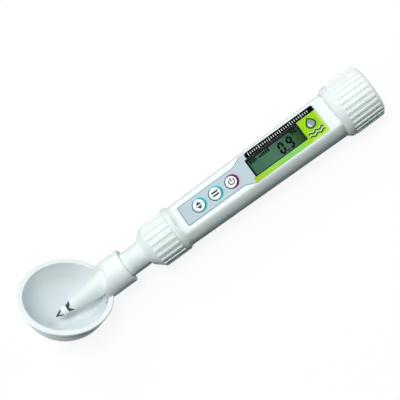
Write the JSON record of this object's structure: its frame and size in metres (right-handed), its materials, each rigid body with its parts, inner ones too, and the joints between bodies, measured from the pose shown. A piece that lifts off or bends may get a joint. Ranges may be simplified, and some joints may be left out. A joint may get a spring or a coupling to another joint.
{
  "type": "food salinity meter",
  "caption": "Hand-held salinity meter with a display, push buttons, screw cap and collar, and a two-electrode probe that stands in a pull-off measuring spoon.",
  "frame": {"origin": "centre of the battery cap's flat end face", "axes": "+X out of the cap's end, along the handle's axis, with the spoon towards -X; +Z the way the display faces; +Y completes the frame"},
  "size_m": [0.2338, 0.0536, 0.0429],
  "materials": {
    "white_shell": "glossy moulded ABS, faintly bluish white",
    "white_probe": "smooth white engineering plastic",
    "white_spoon": "glossy white food-safe plastic",
    "face_label": "printed grey sheet under clear film",
    "clear_lens": "clear polycarbonate window",
    "lcd_cell": "grey-green liquid crystal cell",
    "black_plastic": "black moulded plastic",
    "zebra_rubber": "layered contact rubber",
    "white_inner": "white inner moulding",
    "button_white": "glossy white key top",
    "board_green": "green solder mask",
    "screw_steel": "bright steel",
    "holder_plastic": "dark grey moulded plastic",
    "cell_steel": "nickel-plated can",
    "contact_brass": "plated brass",
    "seal_rubber": "black nitrile",
    "grip_silicone": "grey silicone",
    "electrode_metal": "dark satin metal"
  },
  "bodies": {
    "meter_body": {"body_casing": "white_shell", "face_label": "face_label", "lcd_window": "clear_lens", "lcd_frame": "black_plastic", "lcd_glass": "lcd_cell", "zebra_strips": "zebra_rubber", "lcd_backing": "white_inner", "key_switch_1": "black_plastic", "key_switch_2": "black_plastic", "key_switch_3": "black_plastic", "main_board": "board_green", "board_screws": "screw_steel", "controller_chip": "black_plastic", "clock_crystal": "screw_steel", "battery_holder": "holder_plastic", "cell_1": "cell_steel", "cell_2": "cell_steel", "cell_3": "cell_steel", "cell_4": "cell_steel", "inner_contact": "contact_brass", "ring_contact": "contact_brass", "return_strip": "contact_brass", "cap_seal": "seal_rubber", "probe_socket": "holder_plastic"},
    "key_1": {"button_1": "button_white", "key_plunger_1": "black_plastic"},
    "key_2": {"button_2": "button_white", "key_plunger_2": "black_plastic"},
    "key_3": {"button_3": "button_white", "key_plunger_3": "black_plastic"},
    "cap_carrier": {"cap_contact": "contact_brass", "cap_spring": "screw_steel"},
    "cap": {"battery_cap": "white_shell"},
    "probe": {"probe_stem": "white_probe", "probe_seal": "seal_rubber", "electrode_ring": "electrode_metal", "electrode_spacer": "white_probe", "electrode_tip": "electrode_metal", "thermistor": "black_plastic", "probe_leads": "contact_brass", "probe_plug": "white_inner", "plug_pins": "contact_brass"},
    "collar": {"collar_nut": "white_shell"},
    "grip_ring": {"spoon_grip_ring": "grip_silicone"},
    "spoon_body": {"spoon": "white_spoon"}
  },
  "joints": [
    {"name": "key_1_press", "type": "slide", "parent": "meter_body", "child": "key_1", "axis": [0, 0, -1], "range_m": [0, 0.0004], "stiffness_N_per_m": 1500, "springref_m": -0.0004},
    {"name": "key_2_press", "type": "slide", "parent": "meter_body", "child": "key_2", "axis": [0, 0, -1], "range_m": [0, 0.0004], "stiffness_N_per_m": 1500, "springref_m": -0.0004},
    {"name": "key_3_press", "type": "slide", "parent": "meter_body", "child": "key_3", "axis": [0, 0, -1], "range_m": [0, 0.0004], "stiffness_N_per_m": 1500, "springref_m": -0.0004},
    {"name": "cap_lift", "type": "slide", "parent": "meter_body", "child": "cap_carrier", "axis": [1, 0, 0], "range_m": [0, 0.0045]},
    {"name": "cap_turn", "type": "hinge", "parent": "cap_carrier", "child": "cap", "pos_m": [-0.013, 0, 0], "axis": [1, 0, 0], "range_deg": [0, 540]},
    {"name": "probe_lift", "type": "slide", "parent": "meter_body", "child": "probe", "axis": [-1, 0, 0], "range_m": [0, 0.0045]},
    {"name": "collar_turn", "type": "hinge", "parent": "probe", "child": "collar", "pos_m": [-0.147, 0, 0], "axis": [-1, 0, 0], "range_deg": [0, 540]},
    {"name": "spoon_pull", "type": "slide", "parent": "probe", "child": "grip_ring", "axis": [-1, 0, 0], "range_m": [0, 0.052]},
    {"name": "spoon_turn", "type": "hinge", "parent": "grip_ring", "child": "spoon_body", "pos_m": [-0.17835, 0, 0], "axis": [1, 0, 0], "continuous": true}
  ],
  "couplings": [
    {"joint": "cap_lift", "follows": "cap_turn", "m_per_rad": 0.000477},
    {"joint": "probe_lift", "follows": "collar_turn", "m_per_rad": 0.000477}
  ]
}
